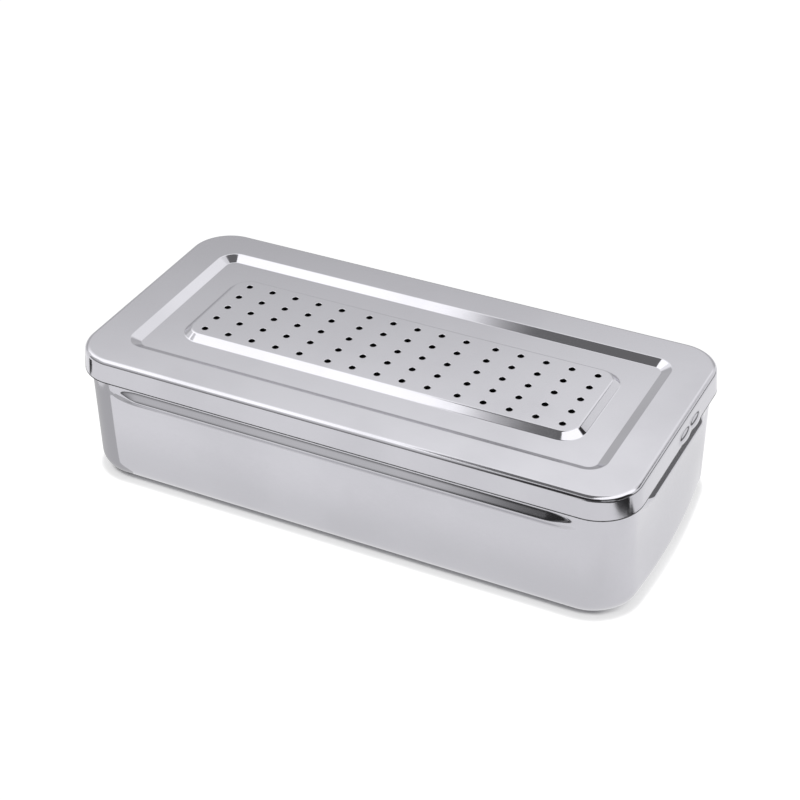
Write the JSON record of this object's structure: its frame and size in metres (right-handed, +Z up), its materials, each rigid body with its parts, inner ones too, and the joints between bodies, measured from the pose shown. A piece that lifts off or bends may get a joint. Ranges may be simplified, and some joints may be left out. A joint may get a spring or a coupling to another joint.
{
  "type": "instrument tray",
  "caption": "Long rectangular polished steel instrument tray with round corners and a lift-off lid whose raised panel is perforated, for storing and sterilising small instruments.",
  "frame": {"origin": "middle of the flat underside of the tray", "axes": "+X along the length, +Y across the width towards the side nearer the finger lifts, +Z up"},
  "size_m": [0.2232, 0.1064, 0.0542],
  "materials": {
    "tray_steel": "polished stainless steel",
    "lid_steel": "polished stainless steel"
  },
  "bodies": {
    "tray": {"tray": "tray_steel"},
    "lid": {"lid": "lid_steel"}
  },
  "joints": [
    {"name": "lid_lift", "type": "slide", "parent": "tray", "child": "lid", "axis": [0, 0, 1], "range_m": [0, 0.06]}
  ]
}
